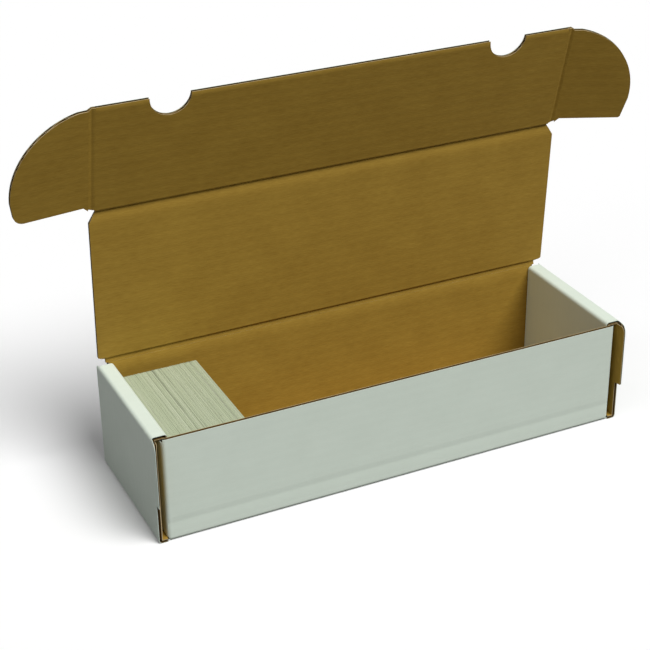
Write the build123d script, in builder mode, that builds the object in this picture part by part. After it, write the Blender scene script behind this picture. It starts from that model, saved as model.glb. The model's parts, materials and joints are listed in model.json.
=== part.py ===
"""A one-piece corrugated storage box for trading cards, stood open with cards in it.

The box is folded from one die-cut blank of corrugated board, white outside and
kraft inside. Every panel between two creases is a solid of its own. The end
walls are double: the outer wall rolls over a narrow ridge and comes down inside
as the inner wall, whose two tabs lock through slots in the bottom. The corner
tabs of the front and back walls are trapped between the two layers, and beside
them a narrow slot at each end takes the ears of the lid's front flap.

Origin: middle of the underside. X runs along the box, Y from front to back,
Z up. All lengths are millimetres and all angles are degrees.
"""

import os
from math import cos, radians, sin

from build123d import *

# --- The cards that the box is made for -------------------------------------
card_length = 88.9
card_height = 63.5
stack_length = 51.5  # what stands in the left end of the box
stack_bundles = 12
bundle_gap = 0.06
bundle_stray = 0.45  # how far a bundle stands out of line with its neighbours
card_lead = 0.6  # from the front wall to the straightest bundle

# --- The board and its folds ------------------------------------------------
board = 2.4  # thickness, with both liners
fold_gap = 0.1  # from a crease to the bevelled edge of each panel beside it
fit = 0.3  # between faces of board that slide past each other
layer_gap = 0.1  # between layers of board that are pressed together

# --- The tray ---------------------------------------------------------------
box_length = 327.0
depth_play = 7.3  # room beyond a card's length between the front and back walls
ridge_height = 73.0
front_drop = 2.0  # how far the front wall stands below the ridges
ear_play = 0.5  # on each side of an ear in its slot
corner_tab_length = 44.0
corner_tab_taper = 4.0
corner_tab_drop = 1.0  # below the underside of the ridge, beyond the fit
end_lip = 4.3  # how far the end walls stand out in front of the front wall
end_lip_bottom = 27.5
end_lip_radius = 7.0
lock_tab_width = 18.0
lock_tab_spacing = 46.0
lock_tab_play = 0.25
lock_tab_radius = 2.0

# --- The lid, its front flap and the ears -----------------------------------
lid_play = 0.5  # from the ridges to the closed lid
lid_inset = 1.0  # at each end of the lid
lid_corner = 7.0  # length of the sloped cut at the lid's front corners
flap_clear = 1.2  # from the table to the closed flap's free edge
notch_radius = 13.0
notch_spacing = 226.0
ear_reach = 50.5
ear_widest = 21.0  # height on the ear at which it reaches furthest
ear_taper = 2.5  # what the ear loses in reach below that
ear_shoulder = 8.0  # straight stretch of the ear's free edge
ear_belly = (37.2, 57.2)  # a point of the ear's round edge, from its root
ear_corner_left = 5.5
ear_corner_right = 1.5

# --- How the box stands -----------------------------------------------------
lid_angle = 86.5  # from closed
flap_fold = 11.5  # of the flap, inwards from the plane of the lid
ear_bend_left = 5.0  # of the ears, inwards from the plane of the flap
ear_bend_right = 15.0

# --- What follows from these ------------------------------------------------
box_depth = card_length + depth_play + 2 * board
front_y = -box_depth / 2
back_y = box_depth / 2
inside_y = back_y - board
left_x = -box_length / 2
ear_slot = board + 2 * ear_play
wall_left = left_x + board + ear_slot  # white face of the corner tabs
wall_length = -2 * wall_left
ridge_width = wall_left - left_x + 2 * board + layer_gap
inner_left = left_x + ridge_width  # white face of the inner end wall
ridge_half = inside_y - fit
front_height = ridge_height - front_drop
corner_tab_top = ridge_height - board - fit - corner_tab_drop
corner_tab_foot = board + fit
hinge_z = ridge_height + lid_play + board
lid_depth = box_depth + fit + board
lid_half = box_length / 2 - lid_inset
flap_half = box_length / 2 - board - ear_play
flap_height = hinge_z - flap_clear
flap_corner = flap_half - board  # where the lid's sloped cuts end
ear_root = board + fit
ear_low = 2 * board + lid_play + fit  # clears the underside of the ridge
ear_step = fit + board + (back_y - ridge_half) - fit
ear_top = hinge_z - board - fit

# A cut runs this far past the board that it goes through.
overcut = 1.0


def swing(angle):
    """The directions up and inwards of a panel hinged along X, turned from closed."""
    up = Vector(0, -cos(radians(angle)), sin(radians(angle)))
    inward = Vector(0, -sin(radians(angle)), -cos(radians(angle)))
    return up, inward


def fold_bevel(middle, into, inward, length):
    """Bevels the edge along a crease at 45 degrees, so that it can fold square.

    middle is the middle of the crease on the outer face, into points across the
    panel and inward through the board.
    """
    into = Vector(into)
    inward = Vector(inward)
    along = into.cross(inward)
    start = Vector(middle) - along * (length / 2)
    with BuildSketch(Plane(origin=start, x_dir=into, z_dir=along)) as bevel:
        Polygon(
            (fold_gap - overcut, -overcut),
            (fold_gap + board + overcut, board + overcut),
            (-2 * overcut, board + overcut),
            (-2 * overcut, -overcut),
            align=None,
        )
    extrude(bevel.sketch, amount=length, mode=Mode.SUBTRACT)


def write(part, name):
    """Labels a finished piece and writes it."""
    part.label = name
    export_step(part, f"parts/{name}.step")


def mirrored(part, plane):
    """The same piece on the other side of a plane."""
    with BuildPart() as twin:
        add(part)
        mirror(about=plane, mode=Mode.REPLACE)
    return twin.part


def make_bottom_panel():
    """The bottom, with the slots that the inner end walls lock into."""
    slot_width = board + 2 * lock_tab_play
    slot_length = lock_tab_width + 2 * lock_tab_play
    slot_x = -inner_left + board / 2
    with BuildPart() as bottom_panel:
        with BuildSketch(Plane.XY):
            Rectangle(box_length, box_depth)
            with GridLocations(2 * slot_x, lock_tab_spacing, 2, 2):
                Rectangle(slot_width, slot_length, mode=Mode.SUBTRACT)
        extrude(amount=board)
        fold_bevel((0, front_y, 0), (0, 1, 0), (0, 0, 1), wall_length)
        fold_bevel((0, back_y, 0), (0, -1, 0), (0, 0, 1), wall_length)
        fold_bevel((left_x, 0, 0), (1, 0, 0), (0, 0, 1), box_depth)
        fold_bevel((-left_x, 0, 0), (-1, 0, 0), (0, 0, 1), box_depth)
    return bottom_panel.part


def bevel_wall_sides(y, inward, height):
    """Bevels a long wall where it folds from the bottom and into the corner tabs."""
    fold_bevel((0, y, 0), (0, 0, 1), inward, wall_length + 2 * overcut)
    fold_bevel((wall_left, y, height / 2), (1, 0, 0), inward, height + 2 * overcut)
    fold_bevel((-wall_left, y, height / 2), (-1, 0, 0), inward, height + 2 * overcut)


def make_front_wall():
    """The front wall, a little lower than the ridges."""
    with BuildPart() as front_wall:
        with BuildSketch(Plane.XZ.offset(inside_y)):
            Rectangle(wall_length, front_height, align=(Align.CENTER, Align.MIN))
        extrude(amount=board)
        bevel_wall_sides(front_y, (0, 1, 0), front_height)
    return front_wall.part


def make_back_wall():
    """The back wall, which ends in the lid's crease."""
    with BuildPart() as back_wall:
        with BuildSketch(Plane.XZ.offset(-back_y)):
            Rectangle(wall_length, hinge_z, align=(Align.CENTER, Align.MIN))
        extrude(amount=board)
        bevel_wall_sides(back_y, (0, -1, 0), hinge_z)
        fold_bevel((0, back_y, hinge_z), (0, 0, -1), (0, -1, 0), wall_length + 2 * overcut)
    return back_wall.part


def make_corner_tab():
    """The front left corner tab, folded back from the front wall."""
    tab_end = front_y + corner_tab_length
    with BuildPart() as corner_tab:
        with BuildSketch(Plane.YZ.offset(wall_left)):
            Polygon(
                (front_y, corner_tab_foot),
                (tab_end, corner_tab_foot + corner_tab_taper),
                (tab_end, corner_tab_top - corner_tab_taper),
                (front_y, corner_tab_top),
                align=None,
            )
        extrude(amount=board)
        fold_bevel(
            (wall_left, front_y, ridge_height / 2), (0, 1, 0), (1, 0, 0), ridge_height
        )
    return corner_tab.part


def make_end_wall_outer():
    """The left outer end wall, with the lip that guards the end of the closed flap."""
    lip_y = front_y - end_lip
    lip_top = (lip_y, ridge_height)
    bevel_length = box_depth + 2 * end_lip + 2 * overcut
    with BuildPart() as end_wall_outer:
        with BuildSketch(Plane.YZ.offset(left_x)) as outline:
            Polygon(
                (front_y, 0),
                (back_y, 0),
                (back_y, ridge_height),
                lip_top,
                (lip_y, end_lip_bottom),
                (front_y, end_lip_bottom),
                align=None,
            )
            lip_corner = outline.vertices().sort_by_distance(lip_top)[0]
            fillet(lip_corner, radius=end_lip_radius)
        extrude(amount=board)
        fold_bevel((left_x, 0, 0), (0, 0, 1), (1, 0, 0), bevel_length)
        fold_bevel((left_x, 0, ridge_height), (0, 0, -1), (1, 0, 0), bevel_length)
    return end_wall_outer.part


def make_end_ridge():
    """The strip between the two creases at the top of the left end."""
    ridge_x = left_x + ridge_width / 2
    ridge_length = 2 * ridge_half
    with BuildPart() as end_ridge:
        with BuildSketch(Plane.XY.offset(ridge_height - board)):
            with Locations((ridge_x, 0)):
                Rectangle(ridge_width, ridge_length)
        extrude(amount=board)
        fold_bevel((left_x, 0, ridge_height), (1, 0, 0), (0, 0, -1), ridge_length)
        fold_bevel((inner_left, 0, ridge_height), (-1, 0, 0), (0, 0, -1), ridge_length)
    return end_ridge.part


def make_end_wall_inner():
    """The left inner end wall, standing on the bottom with its tabs through it."""
    foot = board + layer_gap
    tab_foot = layer_gap
    with BuildPart() as end_wall_inner:
        with BuildSketch(Plane.YZ.offset(inner_left - board)):
            with Locations((0, foot)):
                Rectangle(
                    2 * ridge_half, ridge_height - foot, align=(Align.CENTER, Align.MIN)
                )
            with BuildSketch(mode=Mode.PRIVATE) as lock_tab:
                Rectangle(lock_tab_width, 2 * board, align=(Align.CENTER, Align.MIN))
                fillet(lock_tab.vertices().group_by(Axis.Y)[0], radius=lock_tab_radius)
            with Locations(
                (-lock_tab_spacing / 2, tab_foot), (lock_tab_spacing / 2, tab_foot)
            ):
                add(lock_tab.sketch)
        extrude(amount=board)
        fold_bevel(
            (inner_left, 0, ridge_height), (0, 0, -1), (-1, 0, 0), 2 * back_y
        )
    return end_wall_inner.part


def make_lid_panel():
    """The lid, between the back wall's crease and the flap's crease."""
    up, inward = swing(lid_angle)
    hinge = Vector(0, back_y, hinge_z)
    lid_plane = Plane(origin=hinge, x_dir=(1, 0, 0), z_dir=inward)
    with BuildPart() as lid_panel:
        with BuildSketch(lid_plane):
            Polygon(
                (-lid_half, 0),
                (lid_half, 0),
                (lid_half, lid_depth - lid_corner),
                (flap_corner, lid_depth),
                (-flap_corner, lid_depth),
                (-lid_half, lid_depth - lid_corner),
                align=None,
            )
        extrude(amount=board)
        fold_bevel(hinge, up, inward, box_length)
        fold_bevel(hinge + up * lid_depth, up * -1, inward, box_length)
    return lid_panel.part


def flap_frame():
    """Where the flap starts on the lid, and its directions up and inwards."""
    lid_up, _ = swing(lid_angle)
    up, inward = swing(lid_angle - flap_fold)
    crease = Vector(0, back_y, hinge_z) + lid_up * lid_depth
    return crease, up, inward


def make_front_flap():
    """The flap that hangs in front of the front wall, with its two finger notches."""
    crease, up, inward = flap_frame()
    middle = crease + up * (flap_height / 2)
    with BuildPart() as front_flap:
        with BuildSketch(Plane(origin=crease, x_dir=(1, 0, 0), z_dir=inward)):
            Rectangle(2 * flap_half, flap_height, align=(Align.CENTER, Align.MIN))
            with Locations((-notch_spacing / 2, flap_height), (notch_spacing / 2, flap_height)):
                Circle(notch_radius, mode=Mode.SUBTRACT)
        extrude(amount=board)
        fold_bevel(crease, up, inward, box_length)
        for side in (-1, 1):
            root = middle + Vector(side * flap_half, 0, 0)
            fold_bevel(root, (-side, 0, 0), inward, flap_height + 2 * overcut)
    return front_flap.part


def make_ear(side, bend, corner_radius):
    """An ear of the flap, seen from inside with its root at zero. side is -1 or 1."""
    crease, up, flap_inward = flap_frame()
    across = Vector(side, 0, 0)
    turn = radians(bend)
    out = across * cos(turn) + flap_inward * sin(turn)
    inward = flap_inward * cos(turn) - across * sin(turn)
    root = crease + across * flap_half
    ear_plane = Plane(origin=root, x_dir=out * side, z_dir=inward)
    low_corner = (side * (ear_reach - ear_taper), ear_low)
    shoulder = (side * ear_shoulder, ear_top)
    widest = (side * ear_reach, ear_widest)
    belly = (side * ear_belly[0], ear_belly[1])
    with BuildPart() as ear:
        with BuildSketch(ear_plane) as outline:
            with BuildLine():
                Polyline((0, ear_root), (side * ear_step, ear_low), low_corner, widest)
                ThreePointArc(widest, belly, shoulder)
                Polyline(shoulder, (side * board, ear_top), (0, flap_height), (0, ear_root))
            make_face()
            fillet(outline.vertices().sort_by_distance(low_corner)[0], radius=corner_radius)
        extrude(amount=board)
        fold_bevel(root + up * (flap_height / 2), out, inward, flap_height + 2 * overcut)
    return ear.part


def make_card_stack():
    """The cards, standing on their long edges in a dozen bundles."""
    pitch = stack_length / stack_bundles
    first_x = inner_left + fit + pitch / 2
    first_y = -inside_y + card_lead + card_length / 2
    with BuildPart() as card_stack:
        with BuildSketch(Plane.XY.offset(board)):
            for number in range(stack_bundles):
                stray = bundle_stray * (1 + sin(2.4 * number)) / 2
                with Locations((first_x + number * pitch, first_y + stray)):
                    Rectangle(pitch - bundle_gap, card_length)
        extrude(amount=card_height)
    return card_stack.part


def main():
    """Makes every piece and writes it under its own name."""
    os.makedirs("parts", exist_ok=True)
    write(make_bottom_panel(), "bottom_panel")
    write(make_front_wall(), "front_wall")
    write(make_back_wall(), "back_wall")

    front_tab = make_corner_tab()
    back_tab = mirrored(front_tab, Plane.XZ)
    write(front_tab, "corner_tab_front_left")
    write(mirrored(front_tab, Plane.YZ), "corner_tab_front_right")
    write(back_tab, "corner_tab_back_left")
    write(mirrored(back_tab, Plane.YZ), "corner_tab_back_right")

    for make, name in (
        (make_end_wall_outer, "end_wall_outer"),
        (make_end_ridge, "end_ridge"),
        (make_end_wall_inner, "end_wall_inner"),
    ):
        left = make()
        write(left, f"{name}_left")
        write(mirrored(left, Plane.YZ), f"{name}_right")

    write(make_lid_panel(), "lid_panel")
    write(make_front_flap(), "front_flap")
    write(make_ear(-1, ear_bend_left, ear_corner_left), "ear_left")
    write(make_ear(1, ear_bend_right, ear_corner_right), "ear_right")
    write(make_card_stack(), "card_stack")


main()
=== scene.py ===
"""Dresses the corrugated card storage box: boards with flutes, creases, cards, light and camera.

Every panel of the blank is rebuilt as real board: a white outer liner, a kraft inner liner and the
waved medium between them, so that each cut edge shows its flutes. Lengths are metres.
"""

import json
import logging
from dataclasses import dataclass, field
from enum import Enum
from math import ceil, cos, pi, radians, sin, sqrt, tau
from typing import Callable

import bpy
from mathutils import Matrix, Vector

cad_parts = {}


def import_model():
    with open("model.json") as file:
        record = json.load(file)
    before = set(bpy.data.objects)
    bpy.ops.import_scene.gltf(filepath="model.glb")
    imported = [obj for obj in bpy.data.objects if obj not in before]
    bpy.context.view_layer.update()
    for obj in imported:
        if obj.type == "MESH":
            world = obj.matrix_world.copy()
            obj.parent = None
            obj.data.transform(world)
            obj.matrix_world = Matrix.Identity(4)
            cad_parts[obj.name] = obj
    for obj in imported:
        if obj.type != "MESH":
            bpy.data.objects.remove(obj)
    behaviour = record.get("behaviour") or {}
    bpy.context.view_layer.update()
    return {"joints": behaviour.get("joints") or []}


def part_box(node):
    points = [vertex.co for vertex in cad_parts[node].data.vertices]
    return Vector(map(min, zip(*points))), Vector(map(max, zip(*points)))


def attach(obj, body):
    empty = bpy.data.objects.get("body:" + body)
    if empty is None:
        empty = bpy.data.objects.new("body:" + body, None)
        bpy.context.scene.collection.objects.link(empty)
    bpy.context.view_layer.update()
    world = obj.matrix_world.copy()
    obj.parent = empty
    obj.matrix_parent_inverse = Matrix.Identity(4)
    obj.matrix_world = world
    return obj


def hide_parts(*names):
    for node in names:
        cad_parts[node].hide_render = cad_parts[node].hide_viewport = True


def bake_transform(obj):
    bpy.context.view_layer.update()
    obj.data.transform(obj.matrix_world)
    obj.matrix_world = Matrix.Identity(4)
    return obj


LOG = logging.getLogger("card_box")
MM = 0.001

# Points nearer than this are one point, and KEYS_PER_METRE tells points apart a little finer.
WELD = 1e-3 * MM
KEYS_PER_METRE = 1e7
# The part of a step by which a row may be too wide before it is cut once more.
STEP_SLACK = 0.01
# Each of two panels takes half of the square fold between them.
HALF_FOLD = pi / 4
# Edges sharper than this, in degrees, are shaded as edges.
SHARP_EDGE = 40.0
# Where a crease's dent needs rows, as shares of its width.
DENT_ROWS = (0.3, 0.5, 0.7, 0.9, 1.0, 1.1)
# The colour sockets of a Mix node, by their place.
MIX_FIRST, MIX_SECOND, MIX_RESULT = 6, 7, 2


# --- The board ----------------------------------------------------------------------------------


class Run(Enum):
    """The direction of a panel's flutes, in the panel's own coordinates."""

    ALONG_U = "u"
    ALONG_V = "v"


class Side(Enum):
    """The side of a panel at which it folds into its neighbour."""

    U_LOW = "u_low"
    U_HIGH = "u_high"
    V_LOW = "v_low"
    V_HIGH = "v_high"


class Layer(Enum):
    """What a face of the board is made of; the value is its material's place on the piece."""

    WHITE = 0
    KRAFT = 1
    MEDIUM = 2
    CUT = 3


@dataclass(frozen=True)
class BoardStock:
    """The sizes of the corrugated board itself."""

    thickness: float
    liner: float = 0.30 * MM
    medium: float = 0.26 * MM
    pitch: float = 6.5 * MM
    samples_per_flute: int = 10
    coarse_step: float = 12 * MM
    long_step: float = 36 * MM
    fold_steps: int = 5
    crease_steps: int = 6
    groove: float = 1.0 * MM
    worn_groove: float = 2.8 * MM

    @property
    def fold_radius(self) -> float:
        """The outside of a fold is rounded over the whole thickness of the board."""
        return self.thickness

    @property
    def flute_step(self) -> float:
        """The distance between samples of the wave."""
        return self.pitch / self.samples_per_flute


@dataclass(frozen=True)
class Dent:
    """A stretch beside a crease where the creasing rule has pressed the inner liner down."""

    side: Side
    at: float
    width: float
    depth: float

    def press(self, u: float, v: float) -> float:
        """How far the inner liner lies below its own level.

        Args:
            u: Place on the panel along its first direction.
            v: Place on the panel along its second direction.

        Returns:
            The depth of the dent there.
        """
        place = u if self.side in (Side.U_LOW, Side.U_HIGH) else v
        away = place - self.at if self.side in (Side.U_LOW, Side.V_LOW) else self.at - place
        return self.depth * max(0.0, 1 - max(away, 0.0) / self.width) ** 2


@dataclass(frozen=True)
class Crush:
    """A line along which the white face of a panel has been pressed in."""

    at: float
    below: float
    above: float
    depth: float
    shoulder: float = 1.0 * MM

    def press(self, v: float) -> float:
        """How far the white face lies in at a height.

        Args:
            v: The height on the panel.

        Returns:
            The depth of the line there.
        """
        share = (self.at - v) / self.below if v < self.at else (v - self.at) / self.above
        return self.depth * max(0.0, 1 - share)

    def marks(self) -> tuple[float, ...]:
        """Rows that the line needs."""
        low, high, edge = self.at - self.below, self.at + self.above, self.shoulder
        return low - edge, low, self.at - edge, self.at, high, high + edge


@dataclass
class Cell:
    """A part of a panel between two edges, cut into rows and columns."""

    rows: list[float]
    columns: list[float]
    left: Callable[[float], float]
    right: Callable[[float], float]
    folds: dict[Side, float] = field(default_factory=dict)

    def at(self, column: float, v: float) -> float:
        """The place along u of a column, given as a share of the row at v."""
        low, high = self.left(v), self.right(v)
        return low + (high - low) * column


def ladder(low: float, high: float, step: float, marks: tuple[float, ...] = ()) -> list[float]:
    """Stations from low to high, at most a step apart, that include each mark between them.

    Args:
        low: The first station.
        high: The last station.
        step: The largest distance between two stations.
        marks: Further places that have to be stations.

    Returns:
        The stations in order.
    """
    fixed = sorted({low, high, *(m for m in marks if low + WELD < m < high - WELD)})
    stations = [fixed[0]]
    for start, end in zip(fixed, fixed[1:]):
        count = max(1, ceil((end - start) / step - STEP_SLACK))
        stations += [start + (end - start) * i / count for i in range(1, count + 1)]
    return stations


def shares(stations: list[float]) -> list[float]:
    """The same stations as shares of their whole span."""
    low, span = stations[0], stations[-1] - stations[0]
    return [(s - low) / span for s in stations]


def fold_marks(stock: BoardStock, at: float, sign: int) -> tuple[float, ...]:
    """Stations that a fold's rounding needs, and one beyond it, from the crease into the panel.

    Args:
        stock: The board's sizes.
        at: The place of the crease.
        sign: 1 where the panel lies above that place, -1 where it lies below.

    Returns:
        The stations.
    """
    steps = stock.fold_steps
    return tuple(at + sign * stock.fold_radius * i / steps for i in range(steps + 2))


def dent_marks(at: float, width: float, sign: int) -> tuple[float, ...]:
    """Rows that a crease's dent needs, from the crease into the panel.

    Args:
        at: The place of the crease.
        width: The dent's width.
        sign: 1 where the panel lies above that place, -1 where it lies below.

    Returns:
        The rows.
    """
    return tuple(at + sign * width * share for share in DENT_ROWS)


def point_key(*points: Vector) -> tuple[int, ...]:
    """What tells one pair of points on the board from another."""
    return tuple(round(c * KEYS_PER_METRE) for point in points for c in point)


# --- Meshes -------------------------------------------------------------------------------------


@dataclass
class MeshDraft:
    """Faces of a piece before they become a mesh, each with its layer and its flat coordinates."""

    points: list[Vector] = field(default_factory=list)
    faces: list[list[int]] = field(default_factory=list)
    layers: list[Layer] = field(default_factory=list)
    flats: list[list[tuple[float, float]]] = field(default_factory=list)

    def add(self, corners: list[int], layer: Layer, flat: list[tuple[float, float]]) -> None:
        """Adds a face, without the corners that fall on one another.

        Args:
            corners: Its points, by their place in the draft.
            layer: What it shows.
            flat: The flat coordinates of each corner.
        """
        kept = [i for i in range(len(corners)) if corners[i] != corners[i - 1]]
        if len({corners[i] for i in kept}) >= 3:
            self.faces.append([corners[i] for i in kept])
            self.layers.append(layer)
            self.flats.append([flat[i] for i in kept])

    def build(self, name: str, materials: list[bpy.types.Material]) -> bpy.types.Object:
        """Makes the object, with its flat coordinates as a UV map in metres.

        Args:
            name: The piece's name.
            materials: One for each layer, in the order of Layer.

        Returns:
            The new object, at the origin.
        """
        mesh = bpy.data.meshes.new(name)
        mesh.from_pydata([tuple(p) for p in self.points], [], self.faces)
        for material in materials:
            mesh.materials.append(material)
        uv = mesh.uv_layers.new(name="board")
        for polygon, layer, flat in zip(mesh.polygons, self.layers, self.flats):
            polygon.material_index = layer.value
            for loop, place in zip(polygon.loop_indices, flat):
                uv.data[loop].uv = place
        mesh.validate(clean_customdata=False)
        smooth_by_angle(mesh)
        piece = bpy.data.objects.new(name, mesh)
        bpy.context.scene.collection.objects.link(piece)
        return piece


def smooth_by_angle(mesh: bpy.types.Mesh) -> None:
    """Shades a mesh smooth, apart from its sharp edges."""
    mesh.polygons.foreach_set("use_smooth", [True] * len(mesh.polygons))
    mesh.set_sharp_from_angle(angle=radians(SHARP_EDGE))


def quads_of(grid: list[list[int]]) -> list[list[int]]:
    """The faces between the rows of a grid of points.

    Args:
        grid: The points of each row.

    Returns:
        Four corners for each face, anticlockwise from its lower left one.
    """
    quads = []
    for lower, upper in zip(grid, grid[1:]):
        for i in range(len(lower) - 1):
            quads.append([lower[i], lower[i + 1], upper[i + 1], upper[i]])
    return quads


@dataclass
class Panel:
    """A panel of board in its own coordinates: u and v on the white face, n inwards.

    The shape of the liners is its cells, and the medium's is its core. Its place is given by an
    origin and three directions. The node is the one it stands for, and the body carries it.
    """

    name: str
    origin: Vector
    along: Vector
    across: Vector
    inward: Vector
    run: Run
    cells: list[Cell]
    core: list[Cell]
    dents: list[Dent] = field(default_factory=list)
    crush: Crush | None = None
    node: str = ""
    body: str = ""

    def outer_level(self, v: float) -> float:
        """The depth of the white face at a height of the panel."""
        return self.crush.press(v) if self.crush else 0.0

    def inner_level(self, stock: BoardStock, u: float, v: float) -> float:
        """The depth of the kraft face at a place on the panel, below the white one."""
        return stock.thickness - max([d.press(u, v) for d in self.dents], default=0.0)

    def place(self, stock: BoardStock, cell: Cell, u: float, v: float, n: float) -> Vector:
        """Where a point of the board lies, with the rounding of the folds.

        Args:
            stock: The board's sizes.
            cell: The cell whose folds apply.
            u: Place along the first direction.
            v: Place along the second direction.
            n: Depth below the white face.

        Returns:
            The point in the part's frame.
        """
        for side, at in cell.folds.items():
            sign = 1 if side in (Side.U_LOW, Side.V_LOW) else -1
            if side in (Side.V_LOW, Side.V_HIGH):
                v, n = self.roll(stock, v, n, at, sign)
            else:
                u, n = self.roll(stock, u, n, at, sign)
        return self.origin + self.along * u + self.across * v + self.inward * n

    @staticmethod
    def roll(stock: BoardStock, x: float, n: float, at: float, sign: int) -> tuple[float, float]:
        """Rounds the board on its way to a fold that this panel shares half and half.

        Args:
            stock: The board's sizes.
            x: Place on the panel, across the fold.
            n: Depth below the white face.
            at: The place of the fold.
            sign: 1 where the panel lies above that place, -1 where it lies below.

        Returns:
            The rounded place and depth.
        """
        radius = stock.fold_radius
        away = (x - at) * sign
        if away >= radius:
            return x, n
        turn = (1 - max(away, 0.0) / radius) * HALF_FOLD
        arm = max(radius - n, 0.0)
        return at + sign * (radius - arm * sin(turn)), radius - arm * cos(turn)

    def flat(self, u: float, v: float) -> tuple[float, float]:
        """Flat coordinates with the flutes along the first one."""
        return (u, v) if self.run is Run.ALONG_U else (v, u)

    def sheet(
        self,
        draft: MeshDraft,
        stock: BoardStock,
        low: Callable[[float, float], float],
        high: Callable[[float, float], float],
        shows: tuple[Layer, Layer, Layer],
    ) -> None:
        """Adds one closed ply between two depths.

        Args:
            draft: Where the faces go.
            stock: The board's sizes.
            low: Depth of the ply's face that is nearer to the white side.
            high: Depth of its other face.
            shows: What its low face, its rim and its other face show.
        """
        seen: dict[tuple, int] = {}
        flats: list[tuple[float, float]] = []
        quads: list[list[int]] = []

        def corner(cell: Cell, column: float, v: float) -> int:
            """Adds a point on the low face, and after it one on the high face.

            Args:
                cell: The cell they belong to.
                column: Their share of the row.
                v: The row.

            Returns:
                The first one's place in the draft.
            """
            u = cell.at(column, v)
            outer = self.place(stock, cell, u, v, low(u, v))
            inner = self.place(stock, cell, u, v, high(u, v))
            key = point_key(outer, inner)
            if key not in seen:
                seen[key] = len(draft.points)
                draft.points.extend((outer, inner))
                flats.append(self.flat(u, v))
            return seen[key]

        first = len(draft.points)
        for cell in self.cells:
            grid = [[corner(cell, c, v) for c in cell.columns] for v in cell.rows]
            for square in quads_of(grid):
                quad = [q for k, q in enumerate(square) if q != square[k - 1]]
                if len(set(quad)) >= 3:
                    quads.append(quad)
        edges = {(a, b) for q in quads for a, b in zip(q, q[1:] + q[:1])}

        def spot(corners: list[int]) -> list[tuple[float, float]]:
            """The flat coordinates of a face's corners."""
            return [flats[(c - first) // 2] for c in corners]

        for quad in quads:
            draft.add([q + 1 for q in quad], shows[2], spot(quad))
            draft.add(quad[::-1], shows[0], spot(quad[::-1]))
        for a, b in sorted(edges):
            if (b, a) not in edges:
                draft.add([a, b, b + 1, a + 1], shows[1], spot([a, b, b, a]))

    def liners(self, stock: BoardStock) -> MeshDraft:
        """Both liners of the panel.

        Args:
            stock: The board's sizes.

        Returns:
            Their faces.
        """
        draft = MeshDraft()
        self.sheet(
            draft,
            stock,
            lambda u, v: self.outer_level(v),
            lambda u, v: self.outer_level(v) + stock.liner,
            (Layer.WHITE, Layer.WHITE, Layer.MEDIUM),
        )
        self.sheet(
            draft,
            stock,
            lambda u, v: self.inner_level(stock, u, v) - stock.liner,
            lambda u, v: self.inner_level(stock, u, v),
            (Layer.MEDIUM, Layer.CUT, Layer.KRAFT),
        )
        return draft

    def middle(self, stock: BoardStock) -> tuple[MeshDraft, list[float], list[Vector]]:
        """The sheet halfway between the liners, from which the flutes are waved.

        Args:
            stock: The board's sizes.

        Returns:
            The faces, and for each point its place across the flutes and the way from the
            middle to the crest of a flute.
        """
        draft = MeshDraft()
        across: list[float] = []
        rise: list[Vector] = []
        seen: dict[tuple, int] = {}
        half = stock.medium / 2

        def corner(cell: Cell, column: float, v: float) -> int:
            """Adds the point halfway between the liners.

            Args:
                cell: The cell it belongs to.
                column: Its share of the row.
                v: The row.

            Returns:
                Its place in the draft.
            """
            u = cell.at(column, v)
            trough = self.place(stock, cell, u, v, self.outer_level(v) + stock.liner + half)
            top = self.inner_level(stock, u, v) - stock.liner - half
            crest = self.place(stock, cell, u, v, top)
            key = point_key(trough, crest)
            if key not in seen:
                seen[key] = len(draft.points)
                draft.points.append((trough + crest) / 2)
                across.append(v if self.run is Run.ALONG_U else u)
                rise.append((crest - trough) / 2)
            return seen[key]

        for cell in self.core:
            grid = [[corner(cell, c, v) for c in cell.columns] for v in cell.rows]
            for quad in quads_of(grid):
                draft.add(quad, Layer.MEDIUM, [(0.0, 0.0)] * len(quad))
        return draft, across, rise


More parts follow.
